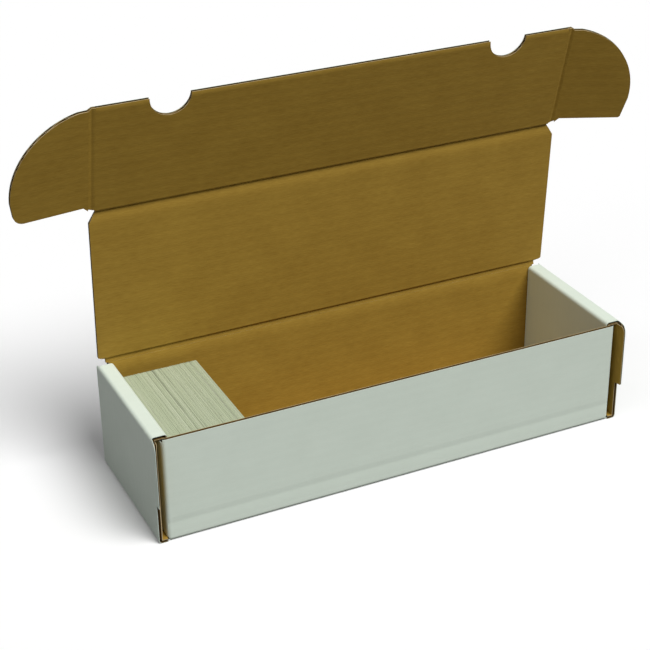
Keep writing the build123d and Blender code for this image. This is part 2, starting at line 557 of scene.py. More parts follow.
@dataclass
class Crease(Panel):
    """A fold: a strip of crushed board, bent between two panels.

    It reaches the board's thickness into each of them. across and inward are the second panel's
    directions, and the first panel's are given here.
    """

    first_across: Vector = field(default_factory=Vector)
    first_inward: Vector = field(default_factory=Vector)
    first_slope: float = 9.0 * MM
    second_slope: float = 2.0 * MM
    depth: float = 1.3 * MM

    def inner_level(self, stock: BoardStock, u: float, v: float) -> float:
        """The depth of the kraft face, which dips towards the crease from both sides.

        Args:
            stock: The board's sizes.
            u: Place along the crease.
            v: Place across it, below zero on the first panel.

        Returns:
            The depth there.
        """
        slope = self.first_slope if v < 0 else self.second_slope
        share = max(0.0, 1 - abs(v) / slope)
        rounded = share * share * (3 - 2 * share) if v > 0 else share * share
        return stock.thickness - self.depth * rounded

    def place(self, stock: BoardStock, cell: Cell, u: float, v: float, n: float) -> Vector:
        """Where a point of the strip lies, turning from the first panel into the second.

        Args:
            stock: The board's sizes.
            cell: The strip's one cell.
            u: Place along the crease.
            v: Place across it, below zero on the first panel.
            n: Depth below the white face.

        Returns:
            The point in the part's frame.
        """
        share = (v / stock.thickness + 1) / 2
        weight = share * share * (3 - 2 * share)
        inward = self.first_inward.lerp(self.inward, weight).normalized()
        across = self.across if v > 0 else self.first_across
        return self.origin + self.along * u + across * v + inward * n

    def liners(self, stock: BoardStock) -> MeshDraft:
        """Both liners, with the crushed medium pressed between them.

        Args:
            stock: The board's sizes.

        Returns:
            The faces of all three.
        """
        draft = super().liners(stock)
        self.sheet(
            draft,
            stock,
            lambda u, v: stock.liner,
            lambda u, v: self.inner_level(stock, u, v) - stock.liner,
            (Layer.MEDIUM, Layer.MEDIUM, Layer.MEDIUM),
        )
        return draft

    @staticmethod
    def strip(stock: BoardStock, low: list[float], high: list[float]) -> list[Cell]:
        """The one cell of a crease.

        Args:
            stock: The board's sizes.
            low: Where it starts along the crease, at its first edge, its middle and its last edge.
            high: Where it ends there.

        Returns:
            The cell, in a list.
        """
        count = stock.crease_steps
        rows = [stock.thickness * i / count for i in range(-count, count + 1)]

        def along(ends: list[float]) -> Callable[[float], float]:
            """The edge through three places.

            Args:
                ends: Those on the first panel, on the crease and on the second panel.

            Returns:
                The edge.
            """

            def at(v: float) -> float:
                """Where the edge is.

                Args:
                    v: The distance from the crease, below zero on the first panel.

                Returns:
                    The place along the crease.
                """
                share = v / stock.thickness
                outer = ends[0] if share < 0 else ends[2]
                return ends[1] + (outer - ends[1]) * abs(share)

            return at

        return [Cell(rows, [0.0, 1.0], along(low), along(high))]


# --- Node trees ---------------------------------------------------------------------------------


@dataclass
class TreeBuilder:
    """Short calls for adding and joining nodes in a tree."""

    tree: bpy.types.NodeTree

    def node(self, kind: str, inputs: dict | None = None, **settings: object) -> bpy.types.Node:
        """Adds a node.

        Args:
            kind: The node's type name.
            inputs: Values or output sockets, by the input's name or place.
            settings: The node's own settings.

        Returns:
            The new node.
        """
        made = self.tree.nodes.new(kind)
        for name, value in settings.items():
            setattr(made, name, value)
        for name, value in (inputs or {}).items():
            if isinstance(value, bpy.types.NodeSocket):
                self.tree.links.new(value, made.inputs[name])
            else:
                made.inputs[name].default_value = value
        return made

    def math(self, operation: str, *values: object) -> bpy.types.NodeSocket:
        """A Math node's result, for sockets or numbers."""
        inputs = dict(enumerate(values))
        return self.node("ShaderNodeMath", inputs, operation=operation).outputs[0]

    def mix(
        self, share: bpy.types.NodeSocket, first: tuple[float, ...], second: tuple[float, ...]
    ) -> bpy.types.NodeSocket:
        """A colour between two others.

        Args:
            share: How much of the second colour it takes.
            first: Red, green and blue of the first colour.
            second: The same of the second one.

        Returns:
            The mixed colour.
        """
        made = self.node("ShaderNodeMix", {0: share}, data_type="RGBA", clamp_factor=True)
        made.inputs[MIX_FIRST].default_value = (*first, 1)
        made.inputs[MIX_SECOND].default_value = (*second, 1)
        return made.outputs[MIX_RESULT]

    def thickened(self, face: bpy.types.Node, extruded: bpy.types.Node) -> bpy.types.NodeSocket:
        """A closed sheet, of a face and what was drawn up from it.

        Args:
            face: The node that gives the face.
            extruded: The node that draws it up.

        Returns:
            Both as one closed mesh.
        """
        extruded.inputs["Individual"].default_value = False
        under = self.node("GeometryNodeFlipFaces", {"Mesh": face.outputs[0]})
        both = self.node("GeometryNodeJoinGeometry")
        for part in (extruded.outputs[0], under.outputs[0]):
            self.tree.links.new(part, both.inputs[0])
        whole = self.node("GeometryNodeMergeByDistance", {"Geometry": both.outputs[0]})
        whole.inputs["Distance"].default_value = WELD
        return whole.outputs[0]

    def socket(
        self, name: str, kind: str, output: bool = False, default: float | None = None
    ) -> None:
        """Declares a socket of the tree.

        Args:
            name: Its name.
            kind: Its type.
            output: Whether the tree gives it, rather than takes it.
            default: What an input holds unless it is set.
        """
        way = "OUTPUT" if output else "INPUT"
        made = self.tree.interface.new_socket(name, in_out=way, socket_type=kind)
        if default is not None:
            made.default_value = default


def set_input(modifier: bpy.types.NodesModifier, name: str, value: object) -> None:
    """Sets a Geometry Nodes input by the identifier of its socket.

    Args:
        modifier: The modifier that holds the tree.
        name: The input's name.
        value: What it is set to.
    """
    for item in modifier.node_group.interface.items_tree:
        if item.item_type == "SOCKET" and item.in_out == "INPUT" and item.name == name:
            modifier[item.identifier] = value
            return
    raise KeyError(name)


def applied(piece: bpy.types.Object) -> bpy.types.Mesh:
    """The plain mesh that a piece's modifiers give.

    Args:
        piece: The object with its modifiers.

    Returns:
        A new mesh without them.
    """
    bpy.context.view_layer.update()
    evaluated = piece.evaluated_get(bpy.context.evaluated_depsgraph_get())
    return bpy.data.meshes.new_from_object(evaluated)


class FluteTree:
    """Geometry Nodes that wave a flat sheet into the medium of the board."""

    def __init__(self) -> None:
        """Builds the tree."""
        self.tree = bpy.data.node_groups.new("flutes", "GeometryNodeTree")
        b = TreeBuilder(self.tree)
        b.socket("Geometry", "NodeSocketGeometry")
        b.socket("Pitch", "NodeSocketFloat", default=BoardStock.pitch)
        b.socket("Thickness", "NodeSocketFloat", default=BoardStock.medium)
        b.socket("Material", "NodeSocketMaterial")
        b.socket("Rim Material", "NodeSocketMaterial")
        b.socket("Geometry", "NodeSocketGeometry", output=True)
        given = b.node("NodeGroupInput").outputs
        named = "GeometryNodeInputNamedAttribute"
        across = b.node(named, {"Name": "flute_across"}, data_type="FLOAT").outputs[0]
        rise = b.node(named, {"Name": "flute_rise"}, data_type="FLOAT_VECTOR").outputs[0]
        turn = b.math("MULTIPLY", b.math("DIVIDE", across, given["Pitch"]), tau)
        wave = b.math("SINE", turn)
        vector = "ShaderNodeVectorMath"
        shift = b.node(vector, {0: rise, "Scale": wave}, operation="SCALE").outputs[0]
        way = b.node(vector, {0: rise}, operation="NORMALIZE").outputs[0]
        half = b.math("MULTIPLY", given["Thickness"], -0.5)
        back = b.node(vector, {0: way, "Scale": half}, operation="SCALE").outputs[0]
        moved = b.node(vector, {0: shift, 1: back}, operation="ADD").outputs[0]
        waved = b.node("GeometryNodeSetPosition", {"Geometry": given["Geometry"], "Offset": moved})
        raised = b.node(
            "GeometryNodeExtrudeMesh",
            {"Mesh": waved.outputs[0], "Offset": way, "Offset Scale": given["Thickness"]},
            mode="FACES",
        )
        whole = b.thickened(waved, raised)
        real = b.node("GeometryNodeRealizeInstances", {"Geometry": whole})
        done = b.node(
            "GeometryNodeSetMaterial",
            {"Geometry": real.outputs[0], "Material": given["Material"]},
        )
        rim = b.node(
            "GeometryNodeSetMaterial",
            {
                "Geometry": done.outputs[0],
                "Selection": raised.outputs["Side"],
                "Material": given["Rim Material"],
            },
        )
        b.node("NodeGroupOutput", {"Geometry": rim.outputs[0]})

    def wave(
        self, panel: Panel, stock: BoardStock, papers: list[bpy.types.Material]
    ) -> bpy.types.Mesh:
        """Makes the medium of one panel.

        Args:
            panel: The panel that it fills.
            stock: The board's sizes.
            papers: The board's materials.

        Returns:
            The medium as a plain mesh.
        """
        draft, across, rise = panel.middle(stock)
        medium = papers[Layer.MEDIUM.value]
        sheet = draft.build(panel.name + "_medium", [medium])
        for polygon in sheet.data.polygons:
            polygon.material_index = 0
        place = sheet.data.attributes.new("flute_across", "FLOAT", "POINT")
        place.data.foreach_set("value", across)
        crest = sheet.data.attributes.new("flute_rise", "FLOAT_VECTOR", "POINT")
        crest.data.foreach_set("vector", [c for way in rise for c in way])
        modifier = sheet.modifiers.new("flutes", "NODES")
        modifier.node_group = self.tree
        set_input(modifier, "Pitch", stock.pitch)
        set_input(modifier, "Thickness", stock.medium)
        set_input(modifier, "Material", medium)
        set_input(modifier, "Rim Material", papers[Layer.CUT.value])
        mesh = applied(sheet)
        bpy.data.objects.remove(sheet)
        return mesh


@dataclass(frozen=True)
class CardSizes:
    """A trading card and how loosely a row of them stands."""

    length: float = 88.9 * MM
    height: float = 63.5 * MM
    thickness: float = 0.29 * MM
    pitch: float = 0.302 * MM
    corner: float = 3.0 * MM
    stray: float = 0.5 * MM
    lift: float = 0.22 * MM
    corner_steps: int = 4
    seed: int = 7


class CardTree:
    """Geometry Nodes that stand cards in a row."""

    def __init__(self) -> None:
        """Builds the tree."""
        self.tree = bpy.data.node_groups.new("card_row", "GeometryNodeTree")
        b = TreeBuilder(self.tree)
        b.socket("Geometry", "NodeSocketGeometry")
        b.socket("Count", "NodeSocketInt", default=10)
        for name in ("Length", "Height", "Thickness", "Corner", "Pitch", "Stray", "Lift"):
            b.socket(name, "NodeSocketFloat", default=MM)
        b.socket("Seed", "NodeSocketInt", default=0)
        b.socket("Material", "NodeSocketMaterial")
        b.socket("Geometry", "NodeSocketGeometry", output=True)
        given = b.node("NodeGroupInput").outputs
        outline = b.node(
            "GeometryNodeCurvePrimitiveQuadrilateral",
            {"Width": given["Length"], "Height": given["Height"]},
        )
        rounded = b.node(
            "GeometryNodeFilletCurve",
            {"Curve": outline.outputs[0], "Radius": given["Corner"]},
            mode="POLY",
        )
        rounded.inputs["Count"].default_value = CardSizes.corner_steps
        face = b.node("GeometryNodeFillCurve", {"Curve": rounded.outputs[0]}, mode="NGONS")
        raised = b.node(
            "GeometryNodeExtrudeMesh",
            {"Mesh": face.outputs[0], "Offset Scale": given["Thickness"]},
            mode="FACES",
        )
        stood = b.node("GeometryNodeTransform", {"Geometry": b.thickened(face, raised)})
        stood.inputs["Rotation"].default_value = (pi / 2, 0, pi / 2)
        step = b.node("ShaderNodeCombineXYZ", {"X": given["Pitch"]}).outputs[0]
        line = b.node("GeometryNodeMeshLine", {"Count": given["Count"], "Offset": step})
        placed = b.node(
            "GeometryNodeInstanceOnPoints",
            {"Points": line.outputs[0], "Instance": stood.outputs[0]},
        )
        sway = b.node("ShaderNodeCombineXYZ", {"Y": given["Stray"], "Z": given["Lift"]}).outputs[0]
        random = b.node(
            "FunctionNodeRandomValue",
            {"Max": sway, "Seed": given["Seed"]},
            data_type="FLOAT_VECTOR",
        )
        random.inputs[0].default_value = (0, 0, 0)
        strayed = b.node(
            "GeometryNodeTranslateInstances",
            {"Instances": placed.outputs[0], "Translation": random.outputs[0]},
        )
        other = b.math("ADD", given["Seed"], 1)
        tone = b.node("FunctionNodeRandomValue", {"Seed": other}, data_type="FLOAT")
        toned = b.node(
            "GeometryNodeStoreNamedAttribute",
            {"Geometry": strayed.outputs[0], "Name": "card_tone"},
            data_type="FLOAT",
            domain="INSTANCE",
        )
        self.tree.links.new(tone.outputs[1], toned.inputs["Value"])
        real = b.node("GeometryNodeRealizeInstances", {"Geometry": toned.outputs[0]})
        done = b.node(
            "GeometryNodeSetMaterial",
            {"Geometry": real.outputs[0], "Material": given["Material"]},
        )
        b.node("NodeGroupOutput", {"Geometry": done.outputs[0]})

    def row(
        self, sizes: CardSizes, start: Vector, length: float, material: bpy.types.Material
    ) -> bpy.types.Object:
        """Stands a row of cards.

        Args:
            sizes: The cards.
            start: Middle of the first card's foot.
            length: Length of the row.
            material: The cards' material.

        Returns:
            The row as one piece.
        """
        holder = bpy.data.objects.new("cards", bpy.data.meshes.new("cards"))
        bpy.context.scene.collection.objects.link(holder)
        modifier = holder.modifiers.new("card_row", "NODES")
        modifier.node_group = self.tree
        values = {
            "Count": int((length - sizes.thickness) / sizes.pitch) + 1,
            "Length": sizes.length,
            "Height": sizes.height,
            "Thickness": sizes.thickness,
            "Corner": sizes.corner,
            "Pitch": sizes.pitch,
            "Stray": sizes.stray,
            "Lift": sizes.lift,
            "Seed": sizes.seed,
            "Material": material,
        }
        for name, value in values.items():
            set_input(modifier, name, value)
        mesh = applied(holder)
        bpy.data.objects.remove(holder)
        mesh.transform(Matrix.Translation(start + Vector((0, 0, sizes.height / 2))))
        row = bpy.data.objects.new("card_row", mesh)
        bpy.context.scene.collection.objects.link(row)
        return row


# --- Finishes -----------------------------------------------------------------------------------


FIBRE_SCALE = 1500.0
FIBRE_DRAW = 0.12
FIBRE_DETAIL = 5.0
CLOUD_SCALE = 40.0
CLOUD_DETAIL = 3.0
# The middle of a noise's range, from which it makes a tone darker or lighter.
NOISE_MIDDLE = 0.5


def group_fibres() -> bpy.types.NodeTree:
    """A group that gives paper fibres drawn out along the flutes, with soft clouds over them.

    Returns:
        The group.
    """
    tree = bpy.data.node_groups.new("paper_fibres", "ShaderNodeTree")
    b = TreeBuilder(tree)
    b.socket("Flat", "NodeSocketVector")
    b.socket("Fibre Scale", "NodeSocketFloat", default=FIBRE_SCALE)
    b.socket("Draw", "NodeSocketFloat", default=FIBRE_DRAW)
    b.socket("Cloud Scale", "NodeSocketFloat", default=CLOUD_SCALE)
    b.socket("Fibres", "NodeSocketFloat", output=True)
    b.socket("Clouds", "NodeSocketFloat", output=True)
    given = b.node("NodeGroupInput").outputs
    parts = b.node("ShaderNodeSeparateXYZ", {0: given["Flat"]}).outputs
    drawn = b.math("MULTIPLY", parts[0], given["Draw"])
    flat = b.node("ShaderNodeCombineXYZ", {0: drawn, 1: parts[1], 2: parts[2]}).outputs[0]
    noise = "ShaderNodeTexNoise"
    fine = b.node(noise, {"Vector": flat, "Scale": given["Fibre Scale"], "Detail": FIBRE_DETAIL})
    wide = b.node(
        noise, {"Vector": given["Flat"], "Scale": given["Cloud Scale"], "Detail": CLOUD_DETAIL}
    )
    b.node("NodeGroupOutput", {"Fibres": fine.outputs["Fac"], "Clouds": wide.outputs["Fac"]})
    return tree


def group_washboard() -> bpy.types.NodeTree:
    """A group that gives the faint waves which the flutes print through a liner.

    Returns:
        The group.
    """
    tree = bpy.data.node_groups.new("washboard", "ShaderNodeTree")
    b = TreeBuilder(tree)
    b.socket("Flat", "NodeSocketVector")
    b.socket("Pitch", "NodeSocketFloat", default=BoardStock.pitch)
    b.socket("Wave", "NodeSocketFloat", output=True)
    given = b.node("NodeGroupInput").outputs
    place = b.node("ShaderNodeSeparateXYZ", {0: given["Flat"]}).outputs[1]
    turn = b.math("MULTIPLY", b.math("DIVIDE", place, given["Pitch"]), tau)
    b.node("NodeGroupOutput", {"Wave": b.math("SINE", turn)})
    return tree


@dataclass(frozen=True)
class PaperFinish:
    """A liner or the medium: its two tones, its fibres, and how much the flutes show through, in
    its relief and as painted shade in its tone.
    """

    name: str
    dark: tuple[float, float, float]
    light: tuple[float, float, float]
    fibre_share: float
    cloud_share: float
    # How far the flutes' waves lighten and darken the tone: partly the liner's own print-through,
    # partly painted shade of the washboard.
    wave_share: float
    roughness: float
    specular: float
    fibre_depth: float
    wave_depth: float
    fibre_gloss: float = 0.4
    uses_flat: bool = True

    def make(self, fibres: bpy.types.NodeTree, washboard: bpy.types.NodeTree) -> bpy.types.Material:
        """Builds the material.

        Args:
            fibres: The group of paper fibres.
            washboard: The group of the flutes' waves.

        Returns:
            The material.
        """
        material = bpy.data.materials.new(self.name)
        material.use_nodes = True
        material.node_tree.nodes.clear()
        b = TreeBuilder(material.node_tree)
        if self.uses_flat:
            flat = b.node("ShaderNodeUVMap", uv_map="board").outputs[0]
        else:
            flat = b.node("ShaderNodeTexCoord").outputs["Object"]
        paper = b.node("ShaderNodeGroup", node_tree=fibres)
        waves = b.node("ShaderNodeGroup", node_tree=washboard)
        for group in (paper, waves):
            b.tree.links.new(flat, group.inputs["Flat"])
        streak, haze = (b.math("SUBTRACT", noise, NOISE_MIDDLE) for noise in paper.outputs)
        fibre = b.math("MULTIPLY", streak, self.fibre_share)
        cloud = b.math("MULTIPLY", haze, self.cloud_share)
        # Painted shade: the flutes' waves darken and lighten the tone along the flutes, beside the
        # liner's own print-through.
        wave = b.math("MULTIPLY", waves.outputs[0], self.wave_share)
        total = b.math("ADD", b.math("ADD", fibre, cloud), b.math("ADD", wave, NOISE_MIDDLE))
        tone = b.mix(total, self.dark, self.light)
        gloss = b.math("ADD", b.math("MULTIPLY", fibre, -self.fibre_gloss), self.roughness)
        fine = b.node("ShaderNodeBump", {"Height": paper.outputs[0], "Distance": self.fibre_depth})
        coarse = b.node(
            "ShaderNodeBump",
            {"Height": waves.outputs[0], "Distance": self.wave_depth, "Normal": fine.outputs[0]},
        )
        surface = b.node(
            "ShaderNodeBsdfPrincipled",
            {"Base Color": tone, "Roughness": gloss, "Normal": coarse.outputs[0]},
        )
        surface.inputs["Specular IOR Level"].default_value = self.specular
        b.node("ShaderNodeOutputMaterial", {0: surface.outputs[0]})
        return material


@dataclass(frozen=True)
class CardFinish:
    """The edges of a row of cards: pale stock, greyed by painted shade of the thin gaps between the
    cards, with a few darker and lighter cards among them.
    """

    name: str = "card_stock"
    dark: tuple[float, float, float] = (0.13, 0.15, 0.10)
    # The usual card tone: the pale stock darkened to grey-green, as painted shade of the thin gaps
    # between the stacked cards.
    middle: tuple[float, float, float] = (0.46, 0.52, 0.36)
    light: tuple[float, float, float] = (0.62, 0.66, 0.52)
    dark_until: float = 0.10
    middle_from: float = 0.17
    middle_until: float = 0.82
    light_from: float = 0.92
    streak_scale: float = 2600.0
    streak_draw: float = 0.012
    streak_rise: float = 0.3
    streak_share: float = 0.2
    streak_depth: float = 0.05 * MM
    roughness: float = 0.55
    specular: float = 0.3

    def make(self) -> bpy.types.Material:
        """Builds the material.

        Returns:
            The material.
        """
        material = bpy.data.materials.new(self.name)
        material.use_nodes = True
        material.node_tree.nodes.clear()
        b = TreeBuilder(material.node_tree)
        tone = b.node("ShaderNodeAttribute", attribute_name="card_tone").outputs["Fac"]
        place = b.node("ShaderNodeTexCoord").outputs["Object"]
        drawn = b.node("ShaderNodeMapping", {"Vector": place})
        drawn.inputs["Scale"].default_value = (1, self.streak_draw, self.streak_rise)
        streak = b.node(
            "ShaderNodeTexNoise", {"Vector": drawn.outputs[0], "Scale": self.streak_scale}
        ).outputs["Fac"]
        card_part = b.math("MULTIPLY", tone, 1 - self.streak_share)
        streak_part = b.math("MULTIPLY", streak, self.streak_share)
        ramp = b.node("ShaderNodeValToRGB", {"Fac": b.math("ADD", card_part, streak_part)})
        stops = ramp.color_ramp.elements
        stops[0].position, stops[0].color = self.dark_until, (*self.dark, 1)
        stops[1].position, stops[1].color = self.light_from, (*self.light, 1)
        for position in (self.middle_from, self.middle_until):
            stops.new(position).color = (*self.middle, 1)
        bump = b.node("ShaderNodeBump", {"Height": streak, "Distance": self.streak_depth})
        surface = b.node(
            "ShaderNodeBsdfPrincipled",
            {"Base Color": ramp.outputs[0], "Normal": bump.outputs[0]},
        )
        surface.inputs["Roughness"].default_value = self.roughness
        surface.inputs["Specular IOR Level"].default_value = self.specular
        b.node("ShaderNodeOutputMaterial", {0: surface.outputs[0]})
        return material


WHITE_LINER = PaperFinish(
    name="white_liner",
    dark=(0.658, 0.742, 0.643),
    light=(0.834, 0.926, 0.821),
    fibre_share=0.25,
    cloud_share=0.35,
    wave_share=0.015,
    roughness=0.52,
    specular=0.22,
    fibre_depth=0.012 * MM,
    wave_depth=0.008 * MM,
)
KRAFT_LINER = PaperFinish(
    name="kraft_liner",
    dark=(0.25, 0.139, 0.015),
    light=(0.47, 0.30, 0.048),
    fibre_share=0.75,
    cloud_share=0.45,
    wave_share=0.03,
    roughness=0.75,
    specular=0.2,
    fibre_depth=0.02 * MM,
    wave_depth=0.016 * MM,
)
CUT_PAPER = PaperFinish(
    name="cut_paper",
    dark=(0.36, 0.26, 0.11),
    light=(0.66, 0.54, 0.33),
    fibre_share=1.3,
    cloud_share=1.0,
    wave_share=0.0,
    roughness=0.85,
    specular=0.15,
    fibre_depth=0.03 * MM,
    wave_depth=0.0,
    uses_flat=False,
)
FLUTE_MEDIUM = PaperFinish(
    name="flute_medium",
    dark=(0.10, 0.060, 0.018),
    light=(0.21, 0.130, 0.042),
    fibre_share=1.0,
    cloud_share=0.5,
    wave_share=0.0,
    roughness=0.85,
    specular=0.1,
    fibre_depth=0.05 * MM,
    wave_depth=0.0,
    uses_flat=False,
)


@dataclass
class Finishes:
    """The materials of the whole box."""

    board: list[bpy.types.Material] = field(default_factory=list)
    cards: bpy.types.Material | None = None

    def make(self) -> "Finishes":
        """Builds every material once.

        Returns:
            The same finishes, filled.
        """
        fibres, washboard = group_fibres(), group_washboard()
        papers = (WHITE_LINER, KRAFT_LINER, FLUTE_MEDIUM, CUT_PAPER)
        self.board = [paper.make(fibres, washboard) for paper in papers]
        self.cards = CardFinish().make()
        return self


# --- The workshop that turns panels into pieces --------------------------------------------------


@dataclass
class Workshop:
    """What every sub-assembly needs to make its boards."""

    stock: BoardStock
    finishes: Finishes
    flutes: FluteTree

    def board(self, panel: Panel) -> None:
        """Makes a panel's liners and medium as one piece and puts it on its body.

        Args:
            panel: The panel.
        """
        piece = panel.liners(self.stock).build(panel.name, self.finishes.board)
        medium = self.flutes.wave(panel, self.stock, self.finishes.board)
        core = bpy.data.objects.new(panel.name + "_core", medium)
        bpy.context.scene.collection.objects.link(core)
        join_into(piece, core)
        smooth_by_angle(piece.data)
        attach(piece, panel.body)
        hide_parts(panel.node)
        LOG.info("%s: %d faces", piece.name, len(piece.data.polygons))

    def crease(self, crease: Crease, bodies: tuple[str, str]) -> None:
        """Makes the strip of a fold, shaped to turn from the first panel into the second.

        Args:
            crease: The fold.
            bodies: The bodies of its two panels; not used.
        """
        piece = crease.liners(self.stock).build(crease.name, self.finishes.board)
        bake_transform(piece)
        LOG.info("%s: %d faces", piece.name, len(piece.data.polygons))


def join_into(piece: bpy.types.Object, other: bpy.types.Object) -> None:
    """Joins another object's mesh into a piece, material by material.

    Args:
        piece: The piece, which stays.
        other: The object that goes.
    """
    with bpy.context.temp_override(active_object=piece, selected_editable_objects=[piece, other]):
        bpy.ops.object.join()


def level(value: float) -> Callable[[float], float]:
    """An edge that stays at one place."""
    return lambda v: value


def shifted(edge: Callable[[float], float], way: float) -> Callable[[float], float]:
    """An edge moved along the panel's first direction."""
    return lambda v: edge(v) + way


@dataclass
class CellMaker:
    """Cuts rectangular cells, coarse for the liners and fine across the flutes for the medium."""

    stock: BoardStock
    run: Run
    row_marks: tuple[float, ...] = ()
    cells: list[Cell] = field(default_factory=list)
    core: list[Cell] = field(default_factory=list)

    def steps(self, fine: bool) -> tuple[float, float]:
        """The largest step between columns and between rows.

        Args:
            fine: Whether the cell has to follow the flutes.

        Returns:
            Both steps.
        """
        if not fine:
            return self.stock.coarse_step, self.stock.coarse_step
        close, far = self.stock.flute_step, self.stock.long_step
        return (far, close) if self.run is Run.ALONG_U else (close, far)

    def block(
        self,
        u_range: tuple[float, float],
        v_range: tuple[float, float],
        folds: dict[Side, float] | None = None,
        left: Callable[[float], float] | None = None,
        right: Callable[[float], float] | None = None,
        bare: dict[Side, float] | None = None,
    ) -> "CellMaker":
        """Adds a cell.

        Args:
            u_range: Its width, or its widest stretch where an edge isn't straight.
            v_range: Its height.
            folds: The creases at which this cell rolls over, with their places.
            left: Its left edge, where that isn't straight.
            right: Its right edge, where that isn't straight.
            bare: How far the medium stands back from the sides that are cut along the flutes.

        Returns:
            The same maker.
        """
        folds = folds or {}
        low, high = left or level(u_range[0]), right or level(u_range[1])
        groove = dict.fromkeys(Side, 0.0) | (bare or {})
        u_marks: tuple[float, ...] = ()
        v_marks = self.row_marks
        for side, at in folds.items():
            if side in (Side.U_LOW, Side.U_HIGH):
                u_marks += fold_marks(self.stock, at, 1 if side is Side.U_LOW else -1)
            else:
                v_marks += fold_marks(self.stock, at, 1 if side is Side.V_LOW else -1)
        u_step, v_step = self.steps(False)
        columns = shares(ladder(*u_range, u_step, u_marks))
        self.cells.append(Cell(ladder(*v_range, v_step, v_marks), columns, low, high, folds))
        u_step, v_step = self.steps(True)
        u_core = u_range[0] + groove[Side.U_LOW], u_range[1] - groove[Side.U_HIGH]
        v_core = v_range[0] + groove[Side.V_LOW], v_range[1] - groove[Side.V_HIGH]
        columns = shares(ladder(*u_core, u_step, u_marks))
        rows = ladder(*v_core, v_step, v_marks)
        near = shifted(low, groove[Side.U_LOW])
        far = shifted(high, -groove[Side.U_HIGH])
        self.core.append(Cell(rows, columns, near, far, folds))
        return self


# --- The tray -----------------------------------------------------------------------------------


